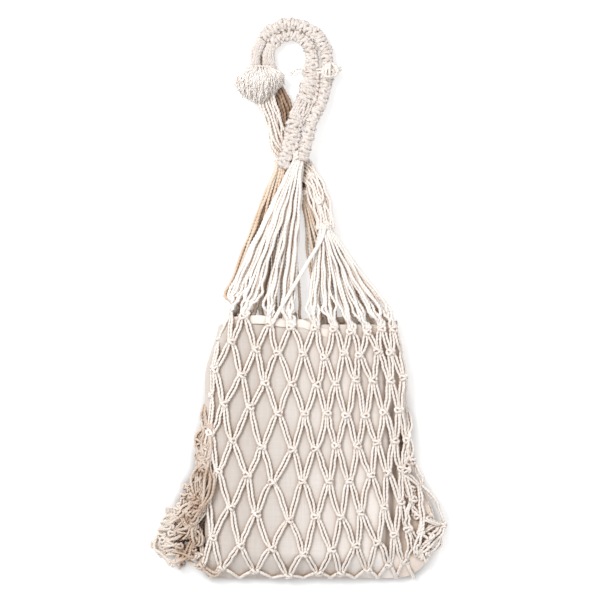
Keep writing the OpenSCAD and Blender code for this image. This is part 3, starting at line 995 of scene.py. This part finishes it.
def small_knot():
    """A cord tied across both straps, with its puffy knot on the outer one and two cut ends."""
    cords = Cords()
    for shift in (-1.7, 1.7):
        path = np.array([[6, 252, 11], [13, 251, 10.5], [22, 250, 10.5], [33, 250, 14], [43, 251, 11],
                         [47, 253, 7]])
        cords.add(curve(path + [0, shift, 0], 8), (1.7, 1.2))
    for rise in (0, 3.5):
        tail = np.array([[8, 252, 12], [2, 253.5 + rise * 0.2, 11], [-3, 252 + rise * 0.3, 9],
                         [-7, 248 + rise * 0.6, 7], [-9, 245 + rise, 6]])
        cords.add(curve(tail, 8), (2.2, 1.0))
    ball(cords, SMALL_KNOT, (9.0, 7.2), 36, 1.8)
    piece = cords.make("small_knot_turns", CORD)
    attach(piece, "grip")
    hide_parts("small_handle_knot")


# ---------------------------------------------------------------- stage

def floor():
    """A white table that glows white, with a painted contact shadow where the bag touches it and less of it
    between the handles.
    """
    mesh = bpy.data.meshes.new("floor")
    far = 6.0
    mesh.from_pydata([(-far, -far, 0), (far, -far, 0), (far, far, 0), (-far, far, 0)], [], [(0, 1, 2, 3)])
    nodes = Nodes("white_table")
    # painted contact shadow in both the colour and the glow of the table, full near the bottom of the bag and
    # weak towards the handles
    near_bag = nodes.ramp(share_along(nodes, "Y", -0.20, -0.05), 0.0, 1.0, 1.0, 0.12)
    painted_contact_shadow = nodes.math("MULTIPLY", painted_crevice_shade(nodes, 0.016, 0.5, 1.0), near_bag)
    shade = mix_colours(nodes, painted_contact_shadow, (1.0, 1.0, 1.0), (0.42, 0.41, 0.40))
    nodes.fill(nodes.shader, {
        "Base Color": nodes.vector("MULTIPLY", shade, (0.55, 0.55, 0.55)), "Emission Color": shade,
        "Emission Strength": 0.60, "Roughness": 0.9, "Specular IOR Level": 0.1})
    mesh.materials.append(nodes.material)
    table = bpy.data.objects.new("floor", mesh)
    bpy.context.scene.collection.objects.link(table)


def lights():
    """A bright room, a key light from the upper left and a soft fill from the lower right."""
    world = bpy.data.worlds.new("studio")
    world.use_nodes = True
    world.node_tree.nodes["Background"].inputs["Color"].default_value = (1, 1, 1, 1)
    world.node_tree.nodes["Background"].inputs["Strength"].default_value = 0.72
    bpy.context.scene.world = world
    for name, place, size, watts in (
        ("key", (-1.1, 1.0, 1.9), 1.0, 40),
        ("fill", (1.6, -1.2, 2.2), 2.2, 9),
    ):
        lamp = bpy.data.lights.new(name, "AREA")
        lamp.size = size
        lamp.energy = watts
        thing = bpy.data.objects.new(name, lamp)
        thing.location = place
        thing.rotation_euler = (-thing.location).to_track_quat("-Z", "Y").to_euler()
        bpy.context.scene.collection.objects.link(thing)


def camera():
    """Straight above the bag, far off, so that it shows in almost parallel view."""
    data = bpy.data.cameras.new("camera")
    distance, seen, bag_middle = 3.2, 0.660, 0.015  # its height, and the width it sees at the bag's middle
    data.sensor_width = 36
    data.lens = data.sensor_width * (distance - bag_middle) / seen
    thing = bpy.data.objects.new("camera", data)
    thing.location = (0.00165, -0.0022, distance)
    bpy.context.scene.collection.objects.link(thing)
    bpy.context.scene.camera = thing
    bpy.context.scene.view_settings.view_transform = "Standard"


pouch_sheet("liner_front", 1, ["liner_front_panel"])
pouch_sheet("liner_back", -1, ["liner_back_panel"])
mouth_hem()
build_net()
build_fans()
strap("outer_strap_cords", OUTER_ROUTE, [(0, 42)], ["outer_strap", "outer_strap_end"])
strap("inner_strap_cords", INNER_ROUTE, [(0, 36), (148, 170)], ["inner_strap", "inner_strap_end"])
loose_leg("front_leg_cords", FRONT_LEG, 12, 1.65, CORD, ["front_loose_leg", "front_loose_leg_end"],
          FRONT_LEG_KNOTS)
loose_leg("back_leg_cords", BACK_LEG, 8, 2.0, SHADOW_BROWN_CORD, ["back_loose_leg", "back_loose_leg_end"])
gather_wrap("front_left", 1, 0.5)
gather_wrap("front_right", 2, 0.3)
gather_wrap("back_left", 1, 0.2)
gather_wrap("back_right", 2, 0.0)
big_knot()
small_knot()
floor()
lights()
camera()
